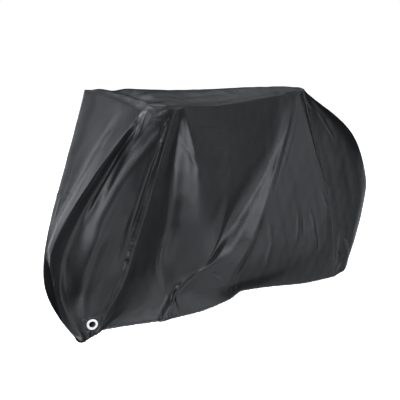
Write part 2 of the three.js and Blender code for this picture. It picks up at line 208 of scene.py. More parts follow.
def cubic(a, b, c, d, t, firm_b=0.0, firm_c=0.0):
    """Hermite cubic from b to c. firm_b and firm_c turn each end from a smooth pass to a straight start."""
    chord = c - b

    def size(v):
        return np.linalg.norm(v, axis=-1, keepdims=True)

    def through(start, end, far):
        reach = size(start - far) + size(end - far)
        return (end - start) * size(chord) / np.maximum(reach, 1e-6)

    leave = chord if a is None else through(a, c, b) * (1 - firm_b) + chord * firm_b
    arrive = chord if d is None else through(b, d, c) * (1 - firm_c) + chord * firm_c
    t2 = t * t
    t3 = t2 * t
    return b * (2 * t3 - 3 * t2 + 1) + leave * (t3 - 2 * t2 + t) + c * (3 * t2 - 2 * t3) + arrive * (t3 - t2)


def down_fold(k, v):
    """Points of fold k at each share v of the way down, which counts the stations as evenly spaced."""
    points = FOLDS[k % len(FOLDS)][0]
    last = len(points) - 1
    out = np.empty((len(v), 3))
    span = np.minimum((v * last).astype(int), last - 1)
    for i in range(last):
        at = span == i
        before = points[i - 1] if i > 0 else None
        after = points[i + 2] if i + 2 <= last else None
        t = (v[at] * last - i)[:, None]
        out[at] = cubic(before, points[i], points[i + 1], after, t)
    return out


def skirt_points(columns, v):
    """The outer surface below the top: an array of rows v by columns, which count facets round the cover."""
    lines = np.array([down_fold(k, v) for k in range(len(FOLDS))])
    columns = np.asarray(columns, float) % ROUND
    k = np.searchsorted(STARTS, columns + 1e-9, side="right") - 1
    share = ((columns - STARTS[k]) / np.array(STEPS)[k])[None, :, None]
    creases = np.array([fold[1] for fold in FOLDS])
    near = [lines[(k + i) % len(FOLDS)].transpose(1, 0, 2) for i in (-1, 0, 1, 2)]
    firm = [creases[(k + i) % len(FOLDS)][None, :, None] for i in (0, 1)]
    return cubic(*near, share, *firm)


def smooth_share(x):
    x = np.clip(x, 0, 1)
    return x * x * (3 - 2 * x)


def unit(v):
    return v / np.maximum(np.linalg.norm(v, axis=-1, keepdims=True), 1e-12)


def run_along(points, axis=0):
    """Length gone from the first point to each point, along one axis of an array of points."""
    steps = np.linalg.norm(np.diff(points, axis=axis), axis=-1)
    run = np.cumsum(steps, axis)
    return np.concatenate([np.zeros_like(np.take(run, [0], axis)), run], axis)


def looked_up(at, points, run=None):
    """Points of a line at places at, which count along run, or else along the line's points."""
    run = np.arange(len(points)) if run is None else run
    return np.stack([np.interp(at, run, points[:, axis]) for axis in range(3)], -1)


def grid_normals(grid):
    return unit(np.cross(np.gradient(grid, axis=0), np.gradient(grid, axis=1)))


BAR_HOLLOW = {"behind": 62.0, "spread": 34.0, "depth": 16.0, "middle": 60.0, "reach": 190.0}


def top_points(along, across):
    """The top, stretched between the side seams, the handlebar and the back of the saddle.

    along counts facets from the handlebar to the rear, and across counts them from right to left.
    """
    def edge(columns):
        return skirt_points(columns, np.zeros(1))[0]

    left = edge(FRONT_TO + along)[:, None]
    right = edge(ROUND - along)[:, None]
    front = edge(across)[None]
    rear = edge(REAR_TO - across)[None]
    front_right, front_left, rear_left, rear_right = edge(SEAM_COLUMNS[:4])
    front_share = (front_right[1] - front[..., 1:2]) / (front_right[1] - front_left[1])
    rear_share = (rear_right[1] - rear[..., 1:2]) / (rear_right[1] - rear_left[1])
    back = (left[..., :1] - front_left[0]) / (rear_left[0] - front_left[0])
    share = front_share + (rear_share - front_share) * back
    out = right + (left - right) * share
    out = out + (front - (front_right + (front_left - front_right) * front_share)) * (1 - back)
    out = out + (rear - (rear_right + (rear_left - rear_right) * rear_share)) * back
    share, back = share[..., 0], back[..., 0]
    crown = CROWN[0] + (CROWN[1] - CROWN[0]) * back
    out[..., 2] += crown * (1 - (2 * share - 1) ** 2) * (1 - np.abs(2 * back - 1) ** 4)
    from_hollow = (out[..., 0] - FOLDS[0][0][0, 0] - BAR_HOLLOW["behind"]) / BAR_HOLLOW["spread"]
    beside = (out[..., 1] - BAR_HOLLOW["middle"]) / BAR_HOLLOW["reach"]
    out[..., 2] -= BAR_HOLLOW["depth"] * np.exp(-(from_hollow**2) - beside**4)
    return out


# ---- creases and gathers that the fold tables are too coarse for ----
# broad swells and hollows, which all the pieces follow
# name, height (outwards is positive), half width, places as (column, share of the way down)
SWELLS = [
    ("crest_fill", 9.0, 17, [(12.0, 0.06), (12.0, 0.14), (12.0, 0.24), (12.0, 0.36)]),
    ("billow_crest", 7.0, 26, [(13.7, 0.34), (13.7, 0.48), (13.6, 0.62), (13.6, 0.74)]),
    ("billow_hollow", -8.0, 26, [(15.7, 0.30), (15.6, 0.44), (15.4, 0.60), (15.4, 0.76)]),
    ("seam_rise", 8.0, 28, [(18.0, 0.20), (18.0, 0.40), (18.0, 0.60), (18.0, 0.88)]),
    ("foot_hollow", -6.0, 32, [(20.0, 0.08), (20.0, 0.26), (20.0, 0.46), (20.0, 0.66), (20.1, 0.84)]),
    ("fan_crest", 3.5, 34, [(21.6, 0.10), (22.0, 0.22), (22.0, 0.38), (22.2, 0.54)]),
    ("fan_behind", -5.0, 34, [(23.6, 0.16), (24.2, 0.30), (24.4, 0.46)]),
    ("band_crest", 5.0, 26, [(31.0, 0.24), (30.6, 0.40), (30.6, 0.56), (31.2, 0.70)]),
]
# name, height (a ridge is positive), half width, places as (column, share of the way down)
CREASES = [
    ("lever_line", 1.8, 7,
     [(9.8, 0.03), (10.1, 0.11), (10.3, 0.17), (10.4, 0.23), (10.2, 0.30), (10.0, 0.40)]),
    ("bead_top", 2.4, 7, [(15.9, 0.03), (15.8, 0.06), (15.8, 0.10)]),
    ("bead_line", 3.0, 7, [(15.9, 0.12), (15.9, 0.20), (15.9, 0.30), (15.9, 0.44)]),
    ("bead_gully", -4.4, 9, [(16.9, 0.12), (16.9, 0.22), (16.9, 0.32), (16.9, 0.46)]),
    ("beside_lever", 0.8, 9, [(9.3, 0.04), (9.1, 0.10), (9.2, 0.17), (9.4, 0.25), (9.5, 0.33)]),
    ("grip_tuck_long", 1.6, 5, [(10.3, 0.01), (10.8, 0.05), (12.3, 0.10)]),
    ("grip_tuck_short", 1.3, 5, [(10.6, 0.02), (12.7, 0.10)]),
    ("packing_upper", -2.2, 6, [(4.6, 0.265), (6.2, 0.272), (7.6, 0.270), (9.6, 0.255)]),
    ("packing_shine", 1.6, 6, [(4.4, 0.280), (6.0, 0.286), (7.8, 0.284)]),
    ("packing_lower", 1.3, 6, [(5.8, 0.28), (5.9, 0.31), (6.5, 0.34)]),
    ("grip_dent_high", -1.6, 5, [(12.0, 0.010), (14.2, 0.006)]),
    ("grip_dent_mid", -1.6, 5, [(12.5, 0.018), (14.6, 0.014)]),
    ("grip_dent_low", -1.4, 5, [(13.2, 0.028), (15.0, 0.024)]),
    ("grip_notch", -3.0, 7, [(15.4, 0.08), (16.3, 0.10), (17.4, 0.135)]),
    ("seam_far_ridge", 1.6, 6, [(18.3, 0.04), (18.3, 0.10), (18.2, 0.19), (18.2, 0.30)]),
    ("fan_edge", 1.4, 9, [(19.4, 0.03), (20.8, 0.12), (22.0, 0.20), (22.8, 0.28), (23.4, 0.38)]),
    ("fan_toe", 1.3, 8, [(20.2, 0.42), (19.9, 0.52), (19.9, 0.60), (20.0, 0.74)]),
    ("pleat_edge", 2.8, 13, [(27.4, 0.70), (26.0, 0.73), (24.0, 0.785), (22.5, 0.84), (21.6, 0.885)]),
    ("pleat_gully", -1.8, 14, [(24.6, 0.70), (22.9, 0.75), (21.8, 0.80), (21.0, 0.86)]),
    ("band_right", 1.6, 8, [(32.2, 0.45), (32.4, 0.59), (32.5, 0.71), (32.6, 0.79)]),
    ("low_short", -3.2, 6, [(30.4, 0.70), (31.1, 0.725), (31.8, 0.758)]),
    ("hem_tuck_one", -2.4, 6, [(32.3, 0.85), (32.1, 0.985)]),
    ("hem_tuck_two", -2.4, 6, [(32.8, 0.83), (32.6, 0.985)]),
    ("hem_tuck_three", -2.2, 6, [(33.3, 0.86), (33.1, 0.985)]),
    ("low_faint", 1.1, 7, [(29.8, 0.82), (32.2, 0.80)]),
    ("low_fan_one", 2.0, 6, [(17.9, 0.60), (17.8, 0.72), (17.2, 0.95)]),
    ("low_fan_two", 1.6, 5, [(18.2, 0.71), (18.4, 0.83), (18.2, 0.97)]),
    ("low_fan_three", 1.4, 5, [(19.1, 0.92), (18.9, 0.99)]),
    ("low_notch", -3.0, 6, [(17.2, 0.50), (17.8, 0.515), (18.2, 0.53)]),
    ("front_low_one", 1.8, 8, [(11.2, 0.50), (10.3, 0.54), (9.4, 0.58)]),
    ("front_low_two", 1.4, 6, [(11.0, 0.46), (11.5, 0.56), (11.7, 0.66)]),
    ("front_low_three", -1.8, 7, [(8.3, 0.65), (10.2, 0.665), (11.9, 0.665)]),
    ("front_low_four", 1.4, 7, [(6.8, 0.81), (9.0, 0.88), (11.3, 0.97)]),
    ("rear_double", 1.8, 8, [(32.4, 0.05), (32.2, 0.14), (32.0, 0.23), (31.8, 0.34)]),
    ("rear_gully", -1.8, 8, [(33.2, 0.05), (32.8, 0.14), (32.7, 0.23), (32.8, 0.37)]),
    ("rear_bright", 1.6, 8, [(35.0, 0.04), (34.0, 0.12), (33.3, 0.21), (33.1, 0.31)]),
    ("swell_edge", 1.6, 10, [(38.2, 0.03), (38.8, 0.14), (39.3, 0.25), (40.1, 0.38), (40.3, 0.46)]),
    ("saddle_gash", -2.8, 7, [(39.2, 0.01), (40.2, 0.04), (40.9, 0.08)]),
    ("rear_light", 1.4, 7, [(42.2, 0.07), (42.4, 0.22)]),
    ("wrinkle_one", 1.8, 8, [(36.0, 0.45), (36.2, 0.55), (36.4, 0.67)]),
    ("wrinkle_two", 1.8, 8, [(37.0, 0.46), (37.5, 0.54), (37.9, 0.64)]),
    ("wrinkle_three", -1.7, 8, [(36.5, 0.49), (36.8, 0.62)]),
    ("wrinkle_four", -1.7, 8, [(37.7, 0.53), (38.3, 0.66), (38.7, 0.79)]),
    ("wrinkle_five", 1.4, 7, [(38.4, 0.38), (38.9, 0.48)]),
    ("rear_tuck_long", -5.5, 8, [(40.8, 0.65), (40.6, 0.80), (40.5, 0.96)]),
    ("rear_tuck_edge", 3.6, 6, [(41.6, 0.72), (43.2, 0.82), (44.6, 0.90)]),
    ("rear_tuck_short", -4.5, 6, [(40.6, 0.815), (41.4, 0.85), (42.3, 0.88)]),
    ("rear_tuck_low", 3.4, 6, [(41.2, 0.985), (41.7, 0.94), (42.8, 0.91)]),
    ("lit_strip", 2.2, 14, [(33.6, 0.46), (34.3, 0.60), (34.2, 0.80)]),
    ("top_dent", -1.3, 11, [(22.6, 0.056), (23.8, 0.062), (24.9, 0.064)]),
    ("far_fold_one", 1.8, 10, [(76.5, 0.05), (75.2, 0.22), (74.6, 0.45), (75.4, 0.72)]),
    ("far_fold_two", -1.8, 10, [(64.5, 0.08), (66.2, 0.26), (67.4, 0.46), (68.6, 0.66)]),
    ("far_fold_three", 1.6, 9, [(61.8, 0.30), (63.4, 0.52), (64.0, 0.78)]),
    ("far_front", 1.6, 9, [(2.2, 0.06), (2.8, 0.20), (3.0, 0.38), (3.1, 0.62)]),
    ("far_rear_one", 1.6, 9, [(50.5, 0.10), (51.2, 0.28), (51.0, 0.50)]),
    ("far_rear_two", -1.6, 9, [(54.5, 0.30), (53.6, 0.55), (54.2, 0.80)]),
]
# name, height, half width, places as (x, y)
TOP_CREASES = [
    ("behind_bar", -4.0, 16, [(62, 190), (70, 80), (74, -40), (66, -170)]),
    ("grip_hollow", -2.6, 12, [(40, -170), (52, -215), (48, -262)]),
    ("grip_rise", 2.4, 14, [(34, -120), (26, -190), (30, -250)]),
    ("saddle_nose", 2.2, 18, [(560, -20), (650, -8), (740, 0)]),
    ("saddle_side", -3.4, 14, [(540, -128), (640, -106), (740, -80), (820, -64)]),
    ("tight_one", 1.4, 12, [(130, -240), (260, -170), (400, -110), (540, -60)]),
    ("tight_two", 1.4, 12, [(120, 230), (250, 150), (380, 90), (520, 40)]),
    ("tight_three", -1.2, 14, [(150, -80), (300, -60), (450, -30)]),
    ("line_on_top", 1.6, 8, [(610, 66), (660, 20), (700, -30)]),
]
CREASE_FADE = 0.28  # share of a crease's length over which it fades out at each end
RIPPLE = {"height": 0.40, "waves": 14, "shortest": 55.0, "longest": 150.0, "seed": 7}
# a wave is its length, how far its phase wanders in radians, and the length over which it wanders
PUCKER = {"height": 0.8, "long": (62.0, 1.4, 47.0), "short": (23.0, 2.2, 29.0), "swell": 71.0,
          "reach": 26.0, "seam": 9.0}
GATHER = {"height": 1.5, "wave": (19.0, 1.7, 41.0), "slant": 60.0, "swell": 57.0, "reach": 23.0}
SEWN = 9.0  # creases fade out this far from a sewn edge
WEAR = {"reach": 22.0, "hem": 30.0, "edge": 0.8, "crest": 2.4}
SLOPE_STEP = {"columns": 0.06, "share": 0.004}
NOWHERE_NEAR = 1e3
LINE_STEPS = 40  # places looked at between two given places of a crease
WIDTHS_COMPARED = 30  # heights at which the cloth between two folds is measured across

WELT = {"half": 5.5, "height": 1.7, "sunk": 0.5, "step": 3.0, "wear": 0.5}
WELT_BUMPS = {"tall": 0.16, "over": 9.0, "sway": 1.3, "sway_over": 31.0, "drift": 0.08, "drift_over": 4.1}
STITCH = {"length": 3.6, "gap": 1.9, "thick": 0.38, "beside": 8.6, "up": 0.25, "sunk": -0.3, "tip": 0.5,
          "sides": 6}
HEM = {"half_width": 5.2, "half_thick": 2.4, "up": 4.0, "step": 3.0, "sides": 12, "share": 0.975,
       "stitches_up": 3.5, "wear": 0.6}
HEM_BUMPS = {"tall": 0.17, "over": 3.2, "sway": 1.6, "sway_over": 17.0, "drift": 0.07, "drift_over": 11.0}
PATCH = {"left_columns": 5, "right_columns": 3, "from": 0.8, "spacing": 2.2, "eased": 8.0, "sewn": 3.0,
         "hole": 15.0}
PATCH_RIM = {"height": 1.1, "inward": 4.0, "reach": 2.6}
PATCH_RAYS = {"height": 0.7, "count": 11, "sway": 1.3, "sways": 3, "radius": 29.0, "reach": 8.0}
# radius and height above the cloth, round the profile of an eyelet from the back end of its hole
EYELET_PROFILE = [
    (13.0, -2.64), (13.0, 1.5), (13.5, 2.34), (15.4, 2.7), (18.25, 2.7), (20.5, 2.364), (22.0, 1.5),
    (22.5, 0.66), (22.2, 0.3), (14.0, 0.3), (14.0, -1.8), (19.5, -1.8), (20.1, -2.4), (19.3, -3.0),
    (13.9, -3.0),
]
EYELET_SIDES = 64
# an eyelet's shares of the way down the skirt and across its patch, the radii of the flat cloth round it,
# and the steps down and across over which the cloth's slope is taken
SEAT = {"down": 0.88, "left_over": 0.45, "right_over": 0.5, "flat": 25.0, "eased": 40.0, "step": 1.0 / 15.0,
        "beside": 0.5}


def along_line(places, spacing, surface):
    """Points spacing apart on a surface, through the given places, with each point's share of the length."""
    places = np.asarray(places, float)
    fine = np.concatenate([places[i] + (places[i + 1] - places[i]) * np.linspace(0, 1, LINE_STEPS)[:-1, None]
                           for i in range(len(places) - 1)] + [places[-1:]])
    points = surface(fine)
    run = run_along(points)
    at = np.linspace(0, run[-1], max(3, int(run[-1] / spacing)))
    return looked_up(at, points, run), at / run[-1]


def crease_height(points, line, share, height, half_width):
    """Height of one crease at each of the points: round across and faded out towards both ends."""
    margin = 3 * half_width  # past this a crease has next to no height
    low, high = line.min(0) - margin, line.max(0) + margin
    near = np.flatnonzero(((points > low) & (points < high)).all(-1))
    out = np.zeros(len(points))
    fade = smooth_share(np.minimum(share, 1 - share) / CREASE_FADE)
    most_at_once = 2000000
    for part in np.array_split(near, max(1, len(near) * len(line) // most_at_once)):
        if len(part) == 0:
            continue
        away = ((points[part][:, None, :] - line[None]) ** 2).sum(-1)
        closest = away.argmin(1)
        out[part] = height * np.exp(-away[np.arange(len(part)), closest] / half_width**2) * fade[closest]
    return out


def on_skirt(places):
    """Points at single (column, share) places."""
    shares, row = np.unique(np.round(places[:, 1], 5), return_inverse=True)
    return skirt_points(places[:, 0], shares)[row, np.arange(len(places))]


def wave(run, length, sway, sway_over, shift=0.0):
    """A sine along run whose phase wanders, so that no two bumps are alike."""
    return np.sin(run * (2 * math.pi / length) + sway * np.sin(run / sway_over) + shift)


def bumps(run, tall, over, sway, sway_over, drift, drift_over):
    """Factors about 1 along run, for uneven sewing."""
    return 1 + tall * np.sin(run / over + sway * np.sin(run / sway_over)) + drift * np.sin(run / drift_over)


def puckers(run, from_seam):
    """Small uneven gathers beside a seam: run is the length along it, from_seam the length away from it."""
    long_wave = wave(run, *PUCKER["long"])
    short_wave = wave(run, *PUCKER["short"])
    tall = PUCKER["height"] * (0.6 + 0.4 * np.sin(run / PUCKER["swell"]))
    beside = np.exp(-((from_seam - PUCKER["seam"]) / PUCKER["reach"]) ** 2)
    return tall * (0.6 * long_wave + 0.4 * short_wave) * beside


def ripples(points):
    """Broad shallow unevenness, summed from a few plane waves."""
    random = np.random.default_rng(RIPPLE["seed"])
    out = np.zeros(len(points))
    for _ in range(RIPPLE["waves"]):
        heading = unit(random.normal(size=3) * [1.0, 1.0, 0.45])
        length = random.uniform(RIPPLE["shortest"], RIPPLE["longest"])
        out += np.sin(points @ heading * (2 * math.pi / length) + random.uniform(0, 2 * math.pi))
    return out * RIPPLE["height"] / math.sqrt(RIPPLE["waves"] / 2)


def skirt_lines(table, spacing):
    """For each row of a table, the points of its line, their shares of its length, height and half width."""
    return [(*along_line(places, spacing, on_skirt), height, width) for _, height, width, places in table]


SWELL_LINES = skirt_lines(SWELLS, spacing=8.0)
CREASE_LINES = skirt_lines(CREASES, spacing=3.0)
ROLL = {"depth": 9.0, "reach": 32.0, "toward": (0.75, 0.0, -0.66), "corner": 232.0, "ease": 74.0}


def rolled(points, from_edge):
    """How far the cloth near the front top edge is drawn in where it rolls over the handlebar."""
    share = np.clip(1 - from_edge / ROLL["reach"], 0, 1) ** 2
    share = share * (1 - smooth_share((np.abs(points[..., 1]) - ROLL["corner"]) / ROLL["ease"]))
    return share[..., None] * np.array(ROLL["toward"]) * ROLL["depth"]


def draped(columns, rows):
    """The skirt with its broad swells and the roll over the handlebar, and its outward normals."""
    columns, rows = np.asarray(columns, float), np.asarray(rows, float)
    base = skirt_points(columns, rows)
    step = SLOPE_STEP["columns"]
    across = skirt_points(columns + step, rows) - skirt_points(columns - step, rows)
    above = skirt_points(columns, np.clip(rows - SLOPE_STEP["share"], 0, 1))
    below = skirt_points(columns, np.clip(rows + SLOPE_STEP["share"], 0, 1))
    normals = unit(np.cross(below - above, across))
    flat = base.reshape(-1, 3)
    height = np.zeros(len(flat))
    for line, share, tall, width in SWELL_LINES:
        height += crease_height(flat, line, share, tall, width)
    top = skirt_points(columns, np.zeros(1))
    out = base + normals * height.reshape(base.shape[:2])[..., None]
    at_front = (columns % ROUND) <= FRONT_TO
    from_top = np.where(at_front[None], np.linalg.norm(base - top, axis=-1), NOWHERE_NEAR)
    return out + rolled(top + 0 * base, from_top), normals


def cloth_points(columns, rows):
    """The skirt with its creases, ripples, seam puckers and hem gathers. Also each point's wear, 0 to 1."""
    plain = skirt_points(columns, rows)
    base, normals = draped(columns, rows)
    points = plain.reshape(-1, 3)
    height = ripples(points)
    for line, share, tall, width in CREASE_LINES:
        height += crease_height(points, line, share, tall, width)
    height = height.reshape(base.shape[:2])
    down = run_along(base)
    left_below = down[-1][None] - down
    across = run_along(base, 1)
    from_seam = np.full(base.shape[:2], NOWHERE_NEAR)
    for seam in SEAM_COLUMNS:
        at = np.flatnonzero(np.abs(columns - seam) < 1e-6)
        if len(at):
            from_seam = np.minimum(from_seam, np.abs(across - across[:, at[:1]]))
    height += puckers(down, from_seam)
    pleat = wave(across, *GATHER["wave"], left_below / GATHER["slant"])
    tall = GATHER["height"] * (0.55 + 0.45 * np.sin(across / GATHER["swell"] + 1.0))
    height += tall * pleat * np.exp(-left_below / GATHER["reach"])
    # sewn edges and the top seam stay where the neighbouring piece is
    height *= smooth_share(from_seam / SEWN) * smooth_share(down / SEWN)
    edge = np.exp(-((from_seam / WEAR["reach"]) ** 2))
    hem = np.exp(-((left_below / WEAR["hem"]) ** 2))
    crest = np.clip(height / WEAR["crest"], 0, 1)
    wear = np.clip(np.maximum(np.maximum(edge, hem) * WEAR["edge"], crest), 0, 1)
    return base + normals * height[..., None], wear


# ---- pieces ----
def fine_columns(start, end, spacing):
    """Columns between two facet counts, at most about spacing apart where the cloth is widest."""
    v = np.linspace(0, 1, WIDTHS_COMPARED)
    out = []
    for k in range(len(FOLDS)):
        if STARTS[k] < start or STARTS[k + 1] > end:
            continue
        width = np.linalg.norm(down_fold(k, v) - down_fold(k + 1, v), axis=-1).max()
        n = max(2, math.ceil(width / spacing))
        out.extend(STARTS[k] + STEPS[k] * np.arange(n) / n)
    return np.array(out + [float(end)])


def fine_rows(spacing, start=0.0):
    """Shares of the way down from start, with the rows about spacing apart."""
    heights = (TOP_HEIGHT, *STATIONS, HEM_HEIGHT)
    out = []
    for i, (high, low) in enumerate(zip(heights, heights[1:])):
        n = math.ceil((high - low) / spacing)
        out.extend((i + np.arange(n) / n) / (len(heights) - 1))
    rows = np.array(out + [1.0])
    return np.concatenate([[start], rows[rows > start + 1e-6]]) if start > 0 else rows


def new_object(name, vertices, faces, material, uv=None, wear=None):
    """A smooth mesh object from table millimetres, which rides on the cover."""
    mesh = bpy.data.meshes.new(name)
    places = (np.asarray(vertices, float).reshape(-1, 3) - SHIFT) * 0.001
    faces = np.asarray(faces)
    mesh.from_pydata(places.tolist(), [], faces.tolist())
    mesh.shade_smooth()
    if uv is not None:
        layer = mesh.uv_layers.new(name="cloth")
        lengths = np.asarray(uv).reshape(-1, 2)[faces.ravel()] * 0.001
        layer.data.foreach_set("uv", lengths.astype(np.float32).ravel())
    if wear is not None:
        marks = mesh.attributes.new("wear", "FLOAT", "POINT")
        marks.data.foreach_set("value", np.asarray(wear, np.float32).ravel())
    mesh.validate()
    obj = bpy.data.objects.new(name, mesh)
    collection.objects.link(obj)
    mesh.materials.append(material)
    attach(obj, "root")
    return obj


def new_sheet(name, grid, faces, material, lengths, wear):
    """A piece of cloth from some faces of a grid, without the points that none of them uses."""
    used, flat_faces = np.unique(faces, return_inverse=True)
    return new_object(name, grid.reshape(-1, 3)[used], flat_faces.reshape(faces.shape), material,
                      lengths.reshape(-1, 2)[used], wear.ravel()[used])


def grid_faces(rows, columns, closed=False, flipped=False):
    """Quads of a grid, seen from outside."""
    i = np.arange(columns if closed else columns - 1)
    j = np.arange(rows - 1)
    jj, ii = np.meshgrid(j, i, indexing="ij")
    right = (ii + 1) % columns
    upper, lower = jj * columns, (jj + 1) * columns
    corners = [upper + ii, lower + ii, lower + right, upper + right]
    if flipped:
        corners = corners[::-1]
    return np.stack(corners, -1).reshape(-1, 4)


def from_borders(lengths):
    """Length from each point of a grid to the nearer side of it, and to its nearer end."""
    across, down = lengths[..., 0], -lengths[..., 1]
    from_side = np.minimum(across - across[:, :1], across[:, -1:] - across)
    return from_side, np.minimum(down, down[-1:] - down)


def cloth_map(grid):
    """Lengths along the cloth from the middle column and from the first row, in millimetres."""
    across = run_along(grid, 1)
    across -= across[:, across.shape[1] // 2][:, None]
    return np.stack([across, -run_along(grid)], -1)


# ---- materials ----
def node(tree, kind, **values):
    """A new shader node. Each value goes to the input or the setting of that name."""
    new = tree.nodes.new(kind)
    for key, value in values.items():
        if key in new.inputs:
            new.inputs[key].default_value = value
        else:
            setattr(new, key, value)
    return new


def link(tree, a, out, b, into):
    tree.links.new(a.outputs[out], b.inputs[into])


def new_material(name):
    material = bpy.data.materials.new(name)
    material.use_nodes = True
    tree = material.node_tree
    tree.nodes.clear()
    output = node(tree, "ShaderNodeOutputMaterial")
    shader = node(tree, "ShaderNodeBsdfPrincipled")
    link(tree, shader, "BSDF", output, "Surface")
    return material, tree, shader


def noise(tree, scale, detail, roughness=0.5):
    """Noise that is fixed to the object."""
    new = node(tree, "ShaderNodeTexNoise", Scale=scale, Detail=detail, Roughness=roughness)
    link(tree, node(tree, "ShaderNodeTexCoord"), "Object", new, "Vector")
    return new


def mottled(tree, dark, light, by):
    """Colours from dark to light, by a noise."""
    new = node(tree, "ShaderNodeMix", data_type="RGBA")
    new.inputs[6].default_value = (*dark, 1)
    new.inputs[7].default_value = (*light, 1)
    link(tree, by, "Fac", new, 0)
    return new


def ranged(tree, low, high, by):
    """Values from low to high, by a noise."""
    new = node(tree, "ShaderNodeMapRange", **{"To Min": low, "To Max": high})
    link(tree, by, "Fac", new, "Value")
    return new


def bumped(tree, by, strength, distance):
    new = node(tree, "ShaderNodeBump", Strength=strength, Distance=distance)
    link(tree, by, 0, new, "Height")
    return new


def coated_cloth(name, base, roughness, weave=0.45):
    """Satin coated polyester: a plain weave under a thin coat, with soft handling marks and worn edges."""
    material, tree, shader = new_material(name)
    shader.inputs["IOR"].default_value = 1.5
    shader.inputs["Specular IOR Level"].default_value = 0.5
    fine = noise(tree, 34.0, 4.0, 0.6)
    tint = mottled(tree, [c * 0.86 for c in base], [c * 1.16 for c in base], noise(tree, 3.2, 3.0))
    patchy = node(tree, "ShaderNodeMath", operation="MULTIPLY")
    link(tree, node(tree, "ShaderNodeAttribute", attribute_name="wear"), "Fac", patchy, 0)
    link(tree, fine, "Fac", patchy, 1)
    faded = node(tree, "ShaderNodeMix", data_type="RGBA")
    faded.inputs[7].default_value = (base[0] * 2.0 + 0.004, base[1] * 2.0 + 0.004, base[2] * 2.0 + 0.003, 1)
    link(tree, patchy, 0, faded, 0)
    link(tree, tint, 2, faded, 6)
    link(tree, faded, 2, shader, "Base Color")

    dulled = node(tree, "ShaderNodeMath", operation="MULTIPLY_ADD")
    dulled.inputs[1].default_value = 0.05
    link(tree, patchy, 0, dulled, 0)
    link(tree, ranged(tree, roughness - 0.05, roughness + 0.06, fine), "Result", dulled, 2)
    link(tree, dulled, 0, shader, "Roughness")

    uv = node(tree, "ShaderNodeUVMap", uv_map="cloth")
    crossing = node(tree, "ShaderNodeMath", operation="MULTIPLY")
    for i, direction in enumerate("XY"):
        threads = node(tree, "ShaderNodeTexWave", wave_type="BANDS", bands_direction=direction,
                       Scale=420.0, Distortion=0.6, Detail=1.0)
        link(tree, uv, "UV", threads, "Vector")
        link(tree, threads, "Fac", crossing, i)
    woven = bumped(tree, crossing, weave, 0.00012)
    rippled = bumped(tree, noise(tree, 21.0, 5.0, 0.6), 0.40, 0.0016)
    link(tree, woven, "Normal", rippled, "Normal")
    link(tree, rippled, "Normal", shader, "Normal")
    return material


def thread(name, base):
    """Twisted polyester sewing thread."""
    material, tree, shader = new_material(name)
    shader.inputs["Roughness"].default_value = 0.55
    shader.inputs["Sheen Weight"].default_value = 0.1
    twist = noise(tree, 900.0, 2.0)
    tint = mottled(tree, [c * 0.7 for c in base], [c * 1.3 for c in base], twist)
    link(tree, tint, 2, shader, "Base Color")
    link(tree, bumped(tree, twist, 0.4, 0.0002), "Normal", shader, "Normal")
    return material


def glowing_bright_metal(name):
    """Satin bright metal with fine turning marks and a little tarnish, and a faint painted glow that
    brightens it like light.
    """
    material, tree, shader = new_material(name)
    shader.inputs["Metallic"].default_value = 0.35
    # painted light: a faint white glow on the metal that lifts the eyelets where no lamp does
    shader.inputs["Emission Color"].default_value = (1, 1, 1, 1)
    shader.inputs["Emission Strength"].default_value = 0.06
    marks = noise(tree, 900.0, 3.0)
    tint = mottled(tree, (0.84, 0.85, 0.86), (0.95, 0.96, 0.97), noise(tree, 120.0, 3.0))
    link(tree, tint, 2, shader, "Base Color")
    link(tree, ranged(tree, 0.26, 0.46, marks), "Result", shader, "Roughness")
    link(tree, bumped(tree, marks, 0.15, 0.0001), "Normal", shader, "Normal")
    return material


CLOTH = coated_cloth("coated_cloth", (0.0095, 0.0098, 0.0107), 0.31)
PATCH_CLOTH = coated_cloth("patch_cloth", (0.0100, 0.0103, 0.0111), 0.33)
TRIM_CLOTH = coated_cloth("trim_cloth", (0.0125, 0.0128, 0.0137), 0.34, 0.6)
THREAD = thread("sewing_thread", (0.020, 0.020, 0.022))
METAL = glowing_bright_metal("eyelet_metal")

# ---- panels ----
PATCH_LEFT = FRONT_TO - PATCH["left_columns"]
PATCH_RIGHT = PATCH["right_columns"]
# name, first and last column, spacing of the points
PANELS = [
    ("front_panel", 0, FRONT_TO, 4.6),
    ("left_side_panel", FRONT_TO, LEFT_TO, 5.0),
    ("rear_panel", LEFT_TO, REAR_TO, 5.2),
    ("right_side_panel", REAR_TO, ROUND, 6.4),
]
for name, start, end, spacing in PANELS:
    columns = fine_columns(start, end, spacing)
    rows = fine_rows(spacing)
    if name == "front_panel":
        rows = np.unique(np.append(rows, PATCH["from"]))
    grid, wear = cloth_points(columns, rows)
    faces = grid_faces(len(rows), len(columns))
    if name == "front_panel":
        # the eyelet patches take the foot of the panel beside each front seam
        column = (columns[:-1] + columns[1:])[None] / 2
        row = (rows[:-1] + rows[1:])[:, None] / 2
        taken = (row > PATCH["from"]) & ((column > PATCH_LEFT) | (column < PATCH_RIGHT))
        faces = faces[~taken.ravel()]
    new_sheet(name + "_cloth", grid, faces, CLOTH, cloth_map(grid), wear)
    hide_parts(name)

TOP_ROWS, TOP_COLUMNS = 240, 150
TOP_RIPPLE = 1.5  # times as high as on the skirt
TOP_LINE_SPACING = 4.0
grid = top_points(np.linspace(0, LEFT_TO - FRONT_TO, TOP_ROWS), np.linspace(0, FRONT_TO, TOP_COLUMNS))
normals = -grid_normals(grid)
from_front = np.linalg.norm(grid - grid[:1], axis=-1)
grid = grid + rolled(grid[:1] + 0 * grid, from_front)
height = ripples(grid.reshape(-1, 3)) * TOP_RIPPLE
for _, tall, width, places in TOP_CREASES:
    level = np.array([[x, y, 0.0] for x, y in places])
    line, share = along_line(level, TOP_LINE_SPACING, lambda fine: fine)
    height += crease_height(grid.reshape(-1, 3) * [1, 1, 0], line, share, tall, width)
height = height.reshape(grid.shape[:2])
lengths = cloth_map(grid)
from_side, from_end = from_borders(lengths)
edge = np.minimum(from_side, from_end)
height += puckers(lengths[..., 1], from_side)
height *= smooth_share(edge / SEWN)
